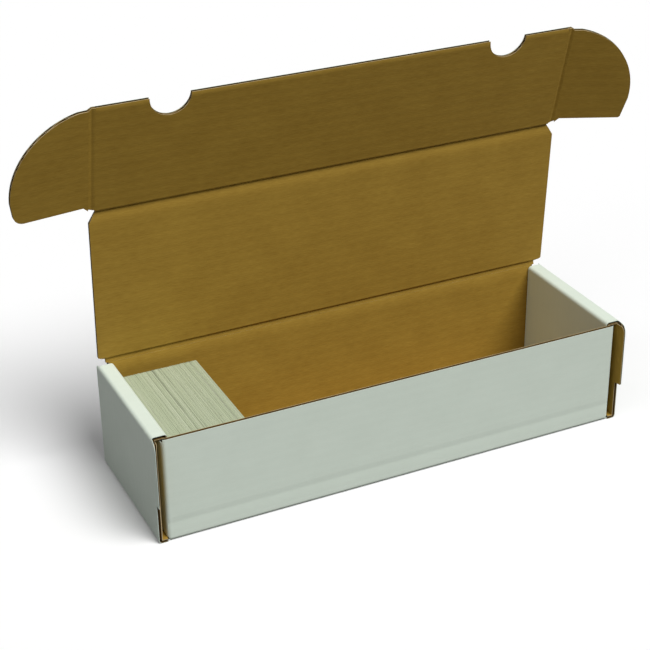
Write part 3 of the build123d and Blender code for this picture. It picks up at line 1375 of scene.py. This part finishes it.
@dataclass
class Tray:
    """The bottom, the long walls, the corner tabs and the rolled-over double ends."""

    shop: Workshop
    lip_bottom: float = 27.5 * MM
    lip_radius: float = 7.0 * MM
    lip_pinch: float = 1.3 * MM
    lock_tab_width: float = 18.0 * MM
    lock_tab_spacing: float = 46.0 * MM
    lock_tab_play: float = 0.25 * MM
    lock_tab_foot: float = 0.1 * MM
    tab_taper: float = 4.0 * MM
    crease_dent_width: float = 9.0 * MM
    crease_dent_depth: float = 1.45 * MM
    lip_steps: int = 8
    foot_line: Crush = Crush(at=13 * MM, below=9 * MM, above=3 * MM, depth=0.35 * MM)

    def __post_init__(self) -> None:
        """Reads the tray's sizes from the frame."""
        self.board = self.shop.stock.thickness
        self.end_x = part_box("end_wall_outer_right")[1].x
        self.front_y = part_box("front_wall")[0].y
        self.back_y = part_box("back_wall")[1].y
        self.ridge_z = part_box("end_ridge_right")[1].z
        self.front_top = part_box("front_wall")[1].z
        self.wall_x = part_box("corner_tab_front_right")[1].x
        self.inner_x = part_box("end_wall_inner_right")[0].x
        self.ridge_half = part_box("end_ridge_right")[1].y
        self.lip_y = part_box("end_wall_outer_right")[0].y
        self.hinge_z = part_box("back_wall")[1].z

    def build(self) -> None:
        """Makes every board of the tray."""
        self.bottom()
        self.long_wall("front_wall", self.front_y, 1, self.front_top)
        self.long_wall("back_wall", self.back_y, -1, self.hinge_z - self.board)
        for end, side in (("left", -1), ("right", 1)):
            self.corner_tab(f"corner_tab_front_{end}", side, self.front_y, 1)
            self.corner_tab(f"corner_tab_back_{end}", side, self.back_y, -1)
            self.outer_wall(f"end_wall_outer_{end}", side)
            self.ridge(f"end_ridge_{end}", side)
            self.inner_wall(f"end_wall_inner_{end}", side)

    def bottom(self) -> None:
        """The bottom, with the four slots that the inner walls lock into."""
        slot_low = self.inner_x - self.lock_tab_play
        slot_high = self.inner_x + self.board + self.lock_tab_play
        reach = self.lock_tab_width / 2 + self.lock_tab_play
        near = self.lock_tab_spacing / 2 - reach
        far = self.lock_tab_spacing / 2 + reach
        whole = (self.front_y, self.back_y)
        maker = CellMaker(self.shop.stock, Run.ALONG_U, (-far, -near, near, far))
        long_folds = {Side.V_LOW: self.front_y, Side.V_HIGH: self.back_y}
        maker.block((-self.end_x, -self.wall_x), whole, {Side.U_LOW: -self.end_x})
        maker.block((self.wall_x, self.end_x), whole, {Side.U_HIGH: self.end_x})
        maker.block((-self.wall_x, -slot_high), whole, long_folds)
        maker.block((slot_high, self.wall_x), whole, long_folds)
        maker.block((-slot_low, slot_low), whole, long_folds)
        for span in ((-slot_high, -slot_low), (slot_low, slot_high)):
            maker.block(span, (self.front_y, -far), {Side.V_LOW: self.front_y})
            maker.block(span, (-near, near))
            maker.block(span, (far, self.back_y), {Side.V_HIGH: self.back_y})
        self.shop.board(
            Panel(
                "bottom_board",
                Vector((0, 0, 0)), Vector((1, 0, 0)), Vector((0, 1, 0)), Vector((0, 0, 1)),
                Run.ALONG_U, maker.cells, maker.core, node="bottom_panel", body="tray",
            )
        )

    def long_wall(self, node: str, y: float, inward: int, top: float) -> None:
        """The front or the back wall.

        Args:
            node: The wall's node.
            y: Its white face.
            inward: 1 where the inside lies towards +Y, -1 where it lies towards -Y.
            top: The height of its top edge.
        """
        tab_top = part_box("corner_tab_front_right")[1].z
        dents, crush, bare = [], None, {}
        if node == "back_wall":
            dents.append(
                Dent(Side.V_HIGH, self.hinge_z, self.crease_dent_width, self.crease_dent_depth)
            )
            marks = dent_marks(self.hinge_z, self.crease_dent_width, -1)
        else:
            crush, bare = self.foot_line, {Side.V_HIGH: self.shop.stock.worn_groove}
            marks = crush.marks()
        maker = CellMaker(self.shop.stock, Run.ALONG_U, marks)
        span = (-self.wall_x, self.wall_x)
        sides = {Side.U_LOW: -self.wall_x, Side.U_HIGH: self.wall_x}
        maker.block(span, (0, tab_top), {Side.V_LOW: 0, **sides})
        maker.block(span, (tab_top, top), sides, bare=bare)
        self.shop.board(
            Panel(
                node + "_board", Vector((0, y, 0)), Vector((-inward, 0, 0)), Vector((0, 0, 1)),
                Vector((0, inward, 0)), Run.ALONG_U, maker.cells, maker.core, dents, crush,
                node=node, body="tray",
            )
        )

    def corner_tab(self, node: str, side: int, y: float, way: int) -> None:
        """A corner tab, trapped between the two layers of an end.

        Args:
            node: The tab's node.
            side: -1 at the left end, 1 at the right end.
            y: The white face of the wall that it folds from.
            way: 1 where the tab runs towards +Y, -1 where it runs towards -Y.
        """
        low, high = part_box(node)
        length = high.y - low.y
        turned = side * way

        def foot(v: float) -> float:
            """The tab's lower edge, which rises away from its fold."""
            return low.z + self.tab_taper * abs(v) / length

        def head(v: float) -> float:
            """The tab's upper edge, which falls away from its fold."""
            return high.z - self.tab_taper * abs(v) / length

        fold = {Side.V_LOW: 0.0} if turned > 0 else {Side.V_HIGH: 0.0}
        span = (0, length) if turned > 0 else (-length, 0)
        maker = CellMaker(self.shop.stock, Run.ALONG_V)
        bare = dict.fromkeys((Side.U_LOW, Side.U_HIGH), self.shop.stock.groove)
        maker.block((low.z, high.z), span, fold, foot, head, bare)
        self.shop.board(
            Panel(
                node + "_board", Vector((side * self.wall_x, y, 0)), Vector((0, 0, 1)),
                Vector((0, side, 0)), Vector((-side, 0, 0)), Run.ALONG_V, maker.cells, maker.core,
                node=node, body="tray",
            )
        )

    def lip(self, z: float) -> float:
        """The front edge of an outer end wall's lip, with its rounded top corner."""
        rise = max(0.0, z - (self.ridge_z - self.lip_radius))
        return self.lip_y + self.lip_radius - sqrt(max(0.0, self.lip_radius**2 - rise**2))

    def outer_wall(self, node: str, side: int) -> None:
        """The outer wall of an end, with its lip in front of the front wall.

        Args:
            node: The wall's node.
            side: -1 at the left end, 1 at the right end.
        """
        turned = -side
        bend = self.ridge_z - self.lip_radius
        turns = (pi / 2 * i / self.lip_steps for i in range(self.lip_steps + 1))
        marks = tuple(bend + self.lip_radius * sin(turn) for turn in turns)
        maker = CellMaker(self.shop.stock, Run.ALONG_V, marks + (self.lip_bottom,))

        def front(z: float) -> float:
            """The front edge of the wall's own part."""
            return max(self.front_y, self.lip(z))

        def block(near: Callable, far: Callable, low: float, folds: dict, bare: Side) -> None:
            """Adds a cell up to the ridge, mirrored where the wall faces the other way.

            Args:
                near: Its edge towards the front.
                far: Its edge towards the back.
                low: Its foot.
                folds: The creases at which it rolls over.
                bare: The side from which the medium stands back.
            """
            edges = (near, far) if turned > 0 else (lambda z: -far(z), lambda z: -near(z))
            span = tuple(edge(low) for edge in edges)
            groove = {bare: self.shop.stock.groove}
            maker.block(span, (low, self.ridge_z), folds, *edges, groove)

        starts, ends = (Side.U_LOW, Side.U_HIGH)[::turned]
        folds = {Side.V_LOW: 0.0, Side.V_HIGH: self.ridge_z}
        block(front, level(self.back_y), 0, folds, ends)
        top = {Side.V_HIGH: self.ridge_z}
        block(self.lip, front, self.lip_bottom, top, starts)
        pinch = Dent(starts, self.lip_y * turned, self.front_y - self.lip_y, self.lip_pinch)
        self.shop.board(
            Panel(
                node + "_board", Vector((side * self.end_x, 0, 0)), Vector((0, turned, 0)),
                Vector((0, 0, 1)), Vector((-side, 0, 0)), Run.ALONG_V, maker.cells, maker.core,
                [pinch], node=node, body="tray",
            )
        )

    def ridge(self, node: str, side: int) -> None:
        """The strip on top of an end, rounded into both of its walls.

        Args:
            node: The strip's node.
            side: -1 at the left end, 1 at the right end.
        """
        width = self.end_x - self.inner_x
        maker = CellMaker(self.shop.stock, Run.ALONG_V)
        folds = {Side.V_LOW: 0.0, Side.V_HIGH: width}
        bare = dict.fromkeys((Side.U_LOW, Side.U_HIGH), self.shop.stock.groove)
        maker.block((-self.ridge_half, self.ridge_half), (0, width), folds, bare=bare)
        self.shop.board(
            Panel(
                node + "_board", Vector((side * self.end_x, 0, self.ridge_z)),
                Vector((0, -side, 0)), Vector((-side, 0, 0)), Vector((0, 0, -1)), Run.ALONG_V,
                maker.cells, maker.core, node=node, body="tray",
            )
        )

    def inner_wall(self, node: str, side: int) -> None:
        """The inner wall of an end, white towards the cards, with its two locking tabs.

        Args:
            node: The wall's node.
            side: -1 at the left end, 1 at the right end.
        """
        drop = self.ridge_z - self.board - self.lock_tab_foot
        foot = self.ridge_z - self.lock_tab_foot
        near = (self.lock_tab_spacing - self.lock_tab_width) / 2
        far = near + self.lock_tab_width
        edges = (-self.ridge_half, -far, -near, near, far, self.ridge_half)
        maker = CellMaker(self.shop.stock, Run.ALONG_V, (drop,))
        for start, end in zip(edges, edges[1:]):
            maker.block((start, end), (0, drop), {Side.V_LOW: 0.0})
        for start in (-far, near):
            maker.block((start, start + self.lock_tab_width), (drop, foot))
        self.shop.board(
            Panel(
                node + "_board", Vector((side * self.inner_x, 0, self.ridge_z)),
                Vector((0, -side, 0)), Vector((0, 0, -1)), Vector((side, 0, 0)), Run.ALONG_V,
                maker.cells, maker.core, node=node, body="tray",
            )
        )


# --- The lid, its flap and the ears --------------------------------------------------------------


@dataclass
class EarShape:
    """The outline of an ear: its root at zero, reach outwards and height along its crease."""

    reach: float = 50.5 * MM
    widest: float = 21.0 * MM
    taper: float = 2.5 * MM
    shoulder: float = 8.0 * MM
    belly: tuple[float, float] = (37.2 * MM, 57.2 * MM)
    corner: float = 5.5 * MM
    low: float = 5.6 * MM
    top: float = 73.2 * MM
    corner_steps: int = 6
    arc_steps: int = 22

    def __post_init__(self) -> None:
        """Finds the circle of the round edge from the three points it passes."""
        a, b = Vector((self.reach, self.widest)), Vector(self.belly)
        c = Vector((self.shoulder, self.top))
        d = 2 * (a.x * (b.y - c.y) + b.x * (c.y - a.y) + c.x * (a.y - b.y))
        squares = [p.length_squared for p in (a, b, c)]
        x = squares[0] * (b.y - c.y) + squares[1] * (c.y - a.y) + squares[2] * (a.y - b.y)
        y = squares[0] * (c.x - b.x) + squares[1] * (a.x - c.x) + squares[2] * (b.x - a.x)
        self.centre = Vector((x / d, y / d))
        self.radius = (a - self.centre).length

    def edge(self, v: float) -> float:
        """How far the ear reaches at a height.

        Args:
            v: The height along the crease.

        Returns:
            The reach from the crease.
        """
        if v >= self.widest:
            rise = v - self.centre.y
            return self.centre.x + sqrt(max(0.0, self.radius**2 - rise**2))
        straight = self.reach - self.taper * (self.widest - v) / (self.widest - self.low)
        up = min(v - self.low, self.corner)
        cut = self.corner - sqrt(max(0.0, self.corner**2 - (self.corner - up) ** 2))
        return straight - cut

    def rows(self) -> tuple[float, ...]:
        """Heights that the round edge and the round corner need.

        Returns:
            The heights, from the corner up.
        """
        turns = [pi / 2 * i / self.corner_steps for i in range(self.corner_steps + 1)]
        corner = [self.low + self.corner * (1 - cos(turn)) for turn in turns]
        turns = [pi / 2 * i / self.arc_steps for i in range(self.arc_steps + 1)]
        arc = [self.widest + (self.top - self.widest) * sin(turn) for turn in turns]
        return tuple(corner + arc)


@dataclass
class Lid:
    """The lid, the front flap with its finger notches, the two ears, and their creases."""

    shop: Workshop
    joints: dict[str, dict]
    tray: Tray
    corner: float = 7.0 * MM
    notch_radius: float = 13.0 * MM
    notch_spacing: float = 226.0 * MM
    notch_steps: int = 10
    dent_width: float = 9.0 * MM
    dent_depth: float = 1.45 * MM
    edge_pinch_width: float = 3.0 * MM
    edge_pinch: float = 0.4 * MM
    ear_step: float = 5.4 * MM
    ear_foot: float = 2.7 * MM
    ear_valley: float = 2.2 * MM
    ear_depth: float = 0.45 * MM
    ear_corners: tuple[float, float] = (5.5 * MM, 1.5 * MM)

    def __post_init__(self) -> None:
        """Reads the creases from the joints."""
        self.board = self.shop.stock.thickness
        self.hinge = Vector(self.joints["lid_hinge"]["pos_m"])
        self.crease = Vector(self.joints["flap_hinge"]["pos_m"])
        rise = self.crease - self.hinge
        self.lid_depth = rise.length
        self.lid_up = rise.normalized()
        self.flap_up = Vector(self.joints["right_ear_hinge"]["axis"]).normalized()
        self.right = Vector((1, 0, 0))
        self.lid_in = self.right.cross(self.lid_up)
        self.flap_in = self.right.cross(self.flap_up)
        self.lid_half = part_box("lid_panel")[1].x
        self.flap_half = self.joints["right_ear_hinge"]["pos_m"][0]
        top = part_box("front_flap")[1].z
        self.flap_height = (top - self.crease.z) / self.flap_up.z

    def build(self) -> None:
        """Makes the boards and the creases between them."""
        self.lid_panel()
        self.flap_panel()
        for side, name, joint in ((-1, "left", "left_ear_hinge"), (1, "right", "right_ear_hinge")):
            self.ear(side, name, radians(self.joints[joint]["range_deg"][1]))
        self.lid_creases()

    def lid_panel(self) -> None:
        """The lid, with its cut front corners."""
        low, high = self.board, self.lid_depth - self.board
        start = self.lid_depth - self.corner
        slope = (self.lid_half - (self.flap_half - self.board)) / self.corner

        def half(v: float) -> float:
            """Half the lid's width at a height."""
            return self.lid_half - slope * max(0.0, v - start)

        marks = dent_marks(self.lid_depth, self.dent_width, -1) + (start,)
        maker = CellMaker(self.shop.stock, Run.ALONG_U, marks)
        maker.block((-self.lid_half, self.lid_half), (low, high), {}, lambda v: -half(v), half)
        dents = [Dent(Side.V_HIGH, self.lid_depth, self.dent_width, self.dent_depth)]
        self.shop.board(
            Panel(
                "lid_board", self.hinge, self.right, self.lid_up, self.lid_in, Run.ALONG_U,
                maker.cells, maker.core, dents, node="lid_panel", body="lid",
            )
        )

    def flap_panel(self) -> None:
        """The front flap, in three columns that meet below its two notches."""
        middle = self.notch_spacing / 2
        edge = self.flap_half - self.board
        bottom = self.flap_height - self.notch_radius

        def bite(v: float) -> float:
            """Half a notch's width at a height."""
            rise = max(0.0, self.flap_height - v)
            return sqrt(max(0.0, self.notch_radius**2 - rise**2))

        turns = (pi / 2 * i / self.notch_steps for i in range(self.notch_steps + 1))
        marks = tuple(bottom + self.notch_radius * (1 - cos(turn)) for turn in turns)
        pinch = Dent(Side.V_HIGH, self.flap_height, self.edge_pinch_width, self.edge_pinch)
        marks += dent_marks(self.flap_height, self.edge_pinch_width, -1)
        maker = CellMaker(self.shop.stock, Run.ALONG_U, marks)
        rows = (self.board, self.flap_height)
        top = {Side.V_HIGH: self.shop.stock.groove}
        maker.block((-edge, -middle), rows, right=lambda v: -middle - bite(v), bare=top)
        maker.block(
            (-middle, middle), rows, {}, lambda v: bite(v) - middle, lambda v: middle - bite(v), top
        )
        maker.block((middle, edge), rows, left=lambda v: middle + bite(v), bare=top)
        self.shop.board(
            Panel(
                "flap_board", self.crease, self.right, self.flap_up, self.flap_in, Run.ALONG_U,
                maker.cells, maker.core, [pinch], node="front_flap", body="flap",
            )
        )

    def ear(self, side: int, name: str, bend: float) -> None:
        """An ear and its crease.

        Args:
            side: -1 for the left ear, 1 for the right ear.
            name: The ear's end in its names.
            bend: How far it is bent in from the plane of the flap, in radians.
        """
        shape = EarShape(corner=self.ear_corners[(side + 1) // 2])
        turn = Matrix.Rotation(-side * bend, 3, self.flap_up)
        along, inward = turn @ self.right, turn @ self.flap_in
        root = self.crease + self.right * self.flap_half * side
        step, board, foot = self.ear_step, self.board, self.ear_foot

        def ramp(v: float) -> float:
            """The outer edge of the ear's root, below which the ear is cut away to its crease."""
            share = min(1.0, max(0.0, (v - foot) / (shape.low - foot)))
            return max(board, step * share)

        maker = CellMaker(self.shop.stock, Run.ALONG_U, shape.rows())

        def block(near: Callable, far: Callable, low: float, high: float) -> None:
            """Adds a cell, mirrored for the left ear.

            Args:
                near: Its edge towards the crease.
                far: Its outer edge.
                low: Its foot.
                high: Its top.
            """
            edges = (near, far) if side > 0 else (lambda v: -far(v), lambda v: -near(v))
            span = (board, shape.reach) if side > 0 else (-shape.reach, -board)
            maker.block(span, (low, high), {}, *edges, {Side.V_LOW: self.shop.stock.groove})

        block(level(board), ramp, foot, shape.top)
        block(level(step), lambda v: max(step, shape.edge(v)), shape.low, shape.top)
        self.shop.board(
            Panel(
                f"ear_{name}_board", root, along, self.flap_up, inward, Run.ALONG_U,
                maker.cells, maker.core, node=f"ear_{name}", body=f"{name}_ear",
            )
        )
        self.ear_crease(side, name, root, along * side, inward)

    def ear_crease(self, side: int, name: str, root: Vector, out: Vector, inward: Vector) -> None:
        """The fold between the flap and an ear.

        Args:
            side: -1 for the left ear, 1 for the right ear.
            name: The ear's end in its names.
            root: Where the crease meets the lid's crease.
            out: The way from the crease into the ear.
            inward: The ear's way inwards.
        """
        foot = self.ear_foot + (EarShape.low - self.ear_foot) * self.board / self.ear_step
        low = [self.board, self.ear_foot, foot]
        high = [self.flap_height, self.flap_height, EarShape.top]
        if side > 0:
            low, high = [-end for end in high], [-end for end in low]
        self.shop.crease(
            Crease(
                f"ear_crease_{name}", root, self.flap_up * -side, out, inward, Run.ALONG_V,
                Crease.strip(self.shop.stock, low, high), [],
                first_across=self.right * side, first_inward=self.flap_in,
                first_slope=self.ear_valley, second_slope=self.ear_valley, depth=self.ear_depth,
            ),
            ("flap", f"{name}_ear"),
        )

    def lid_creases(self) -> None:
        """The folds between the back wall and the lid, and between the lid and the flap."""
        stock, wall, edge = self.shop.stock, self.tray.wall_x, self.flap_half - self.board
        corner = edge + (self.lid_half - edge) * self.board / self.corner
        folds = (
            ("lid_crease", self.hinge, ("tray", "lid"), (Vector((0, 0, 1)), Vector((0, -1, 0))),
             (self.lid_up, self.lid_in), [wall, wall, self.lid_half]),
            ("flap_crease", self.crease, ("lid", "flap"), (self.lid_up, self.lid_in),
             (self.flap_up, self.flap_in), [corner, edge, edge]),
        )
        for name, origin, bodies, first, second, ends in folds:
            strip = Crease.strip(stock, [-end for end in ends], ends)
            self.shop.crease(
                Crease(
                    name, origin, self.right, *second, Run.ALONG_U, strip, [],
                    first_across=first[0], first_inward=first[1],
                    first_slope=self.dent_width, depth=self.dent_depth,
                ),
                bodies,
            )


# --- Cards --------------------------------------------------------------------------------------


@dataclass
class Cards:
    """The row of cards in the left end."""

    finishes: Finishes
    sizes: CardSizes = CardSizes()

    def build(self) -> None:
        """Stands the cards in the left end, against its inner wall."""
        low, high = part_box("card_stack")
        middle = low.y + self.sizes.length / 2
        start = Vector((low.x, middle, low.z))
        row = CardTree().row(self.sizes, start, high.x - low.x, self.finishes.cards)
        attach(row, "cards")
        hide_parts("card_stack")
        LOG.info("card_row: %d faces", len(row.data.polygons))


# --- Studio -------------------------------------------------------------------------------------


@dataclass
class Studio:
    """A pale floor, a high key light from the front right, and the camera."""

    floor_size: float = 12.0
    floor_tone: float = 0.985
    floor_bounce: float = 0.13
    sky_strength: float = 0.11
    key_strength: float = 2.92
    key_elevation: float = 57.0
    key_azimuth: float = 28.0
    key_softness: float = 36.0
    fill_strength: float = 0.52
    fill_elevation: float = 50.0
    fill_azimuth: float = -68.0
    fill_softness: float = 50.0
    camera_place: tuple[float, float, float] = (-0.40699, -0.80511, 0.56107)
    camera_heading: float = 25.205
    camera_dip: float = 27.777
    camera_roll: float = -0.822
    focal_pixels: float = 1598.0
    frame_pixels: float = 650.0
    sensor: float = 36.0
    clip_start: float = 0.01

    def build(self) -> None:
        """Makes the floor, the lights and the camera."""
        self.floor()
        self.lights()
        self.camera()
        bpy.context.scene.view_settings.view_transform = "Standard"

    def floor(self) -> None:
        """A floor that the camera sees as pale paper, and that lights the box only softly."""
        half = self.floor_size / 2
        mesh = bpy.data.meshes.new("floor")
        corners = [(-half, -half, 0), (half, -half, 0), (half, half, 0), (-half, half, 0)]
        mesh.from_pydata(corners, [], [(0, 1, 2, 3)])
        floor = bpy.data.objects.new("floor", mesh)
        bpy.context.scene.collection.objects.link(floor)
        material = bpy.data.materials.new("floor_paper")
        material.use_nodes = True
        material.node_tree.nodes.clear()
        b = TreeBuilder(material.node_tree)
        rays = b.node("ShaderNodeLightPath").outputs
        seen = b.math("MAXIMUM", rays["Is Camera Ray"], rays["Is Glossy Ray"])
        seen = b.math("MAXIMUM", seen, rays["Is Transmission Ray"])
        tone = b.mix(seen, (self.floor_bounce,) * 3, (self.floor_tone,) * 3)
        surface = b.node("ShaderNodeBsdfDiffuse", {"Color": tone})
        b.node("ShaderNodeOutputMaterial", {0: surface.outputs[0]})
        mesh.materials.append(material)

    def lights(self) -> None:
        """An even sky, a broad key light and a weak light from the other side."""
        world = bpy.data.worlds.new("studio")
        bpy.context.scene.world = world
        world.use_nodes = True
        sky = world.node_tree.nodes["Background"]
        sky.inputs["Color"].default_value = (1, 1, 1, 1)
        sky.inputs["Strength"].default_value = self.sky_strength
        turn = self.key_azimuth, self.key_elevation
        self.sun("key", self.key_strength, *turn, self.key_softness)
        turn = self.fill_azimuth, self.fill_elevation
        self.sun("fill", self.fill_strength, *turn, self.fill_softness)

    def sun(
        self, name: str, strength: float, azimuth: float, elevation: float, softness: float
    ) -> None:
        """Makes a broad far lamp.

        Args:
            name: The lamp's name.
            strength: Its strength.
            azimuth: Degrees from the front towards the right.
            elevation: Degrees above the floor.
            softness: How wide it looks from the box, in degrees.
        """
        lamp = bpy.data.lights.new(name, "SUN")
        lamp.energy = strength
        lamp.angle = radians(softness)
        holder = bpy.data.objects.new(name, lamp)
        tilt = Matrix.Rotation(radians(90 - elevation), 4, "X")
        holder.matrix_world = Matrix.Rotation(radians(azimuth), 4, "Z") @ tilt
        bpy.context.scene.collection.objects.link(holder)

    def camera(self) -> None:
        """A camera at the photograph's place, heading and tilt."""
        lens = bpy.data.cameras.new("camera")
        lens.sensor_width = self.sensor
        lens.lens = self.focal_pixels * self.sensor / self.frame_pixels
        lens.clip_start = self.clip_start
        camera = bpy.data.objects.new("camera", lens)
        heading = Matrix.Rotation(-radians(self.camera_heading), 4, "Z")
        dip = Matrix.Rotation(radians(90 - self.camera_dip), 4, "X")
        roll = Matrix.Rotation(radians(self.camera_roll), 4, "Z")
        camera.matrix_world = Matrix.Translation(self.camera_place) @ heading @ dip @ roll
        bpy.context.scene.collection.objects.link(camera)
        bpy.context.scene.camera = camera


def main(frame: dict) -> None:
    """Builds the sub-assemblies in order.

    Args:
        frame: The part's own frame, with its joints.
    """
    joints = {joint["name"]: joint for joint in frame["joints"]}
    low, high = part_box("front_wall")
    stock = BoardStock(thickness=high.y - low.y)
    finishes = Finishes().make()
    shop = Workshop(stock, finishes, FluteTree())
    tray = Tray(shop)
    tray.build()
    Lid(shop, joints, tray).build()
    Cards(finishes).build()
    Studio().build()


if __name__ == "__main__":
    logging.basicConfig(level=logging.INFO, format="%(name)s %(message)s")
    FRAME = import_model()
    main(FRAME)
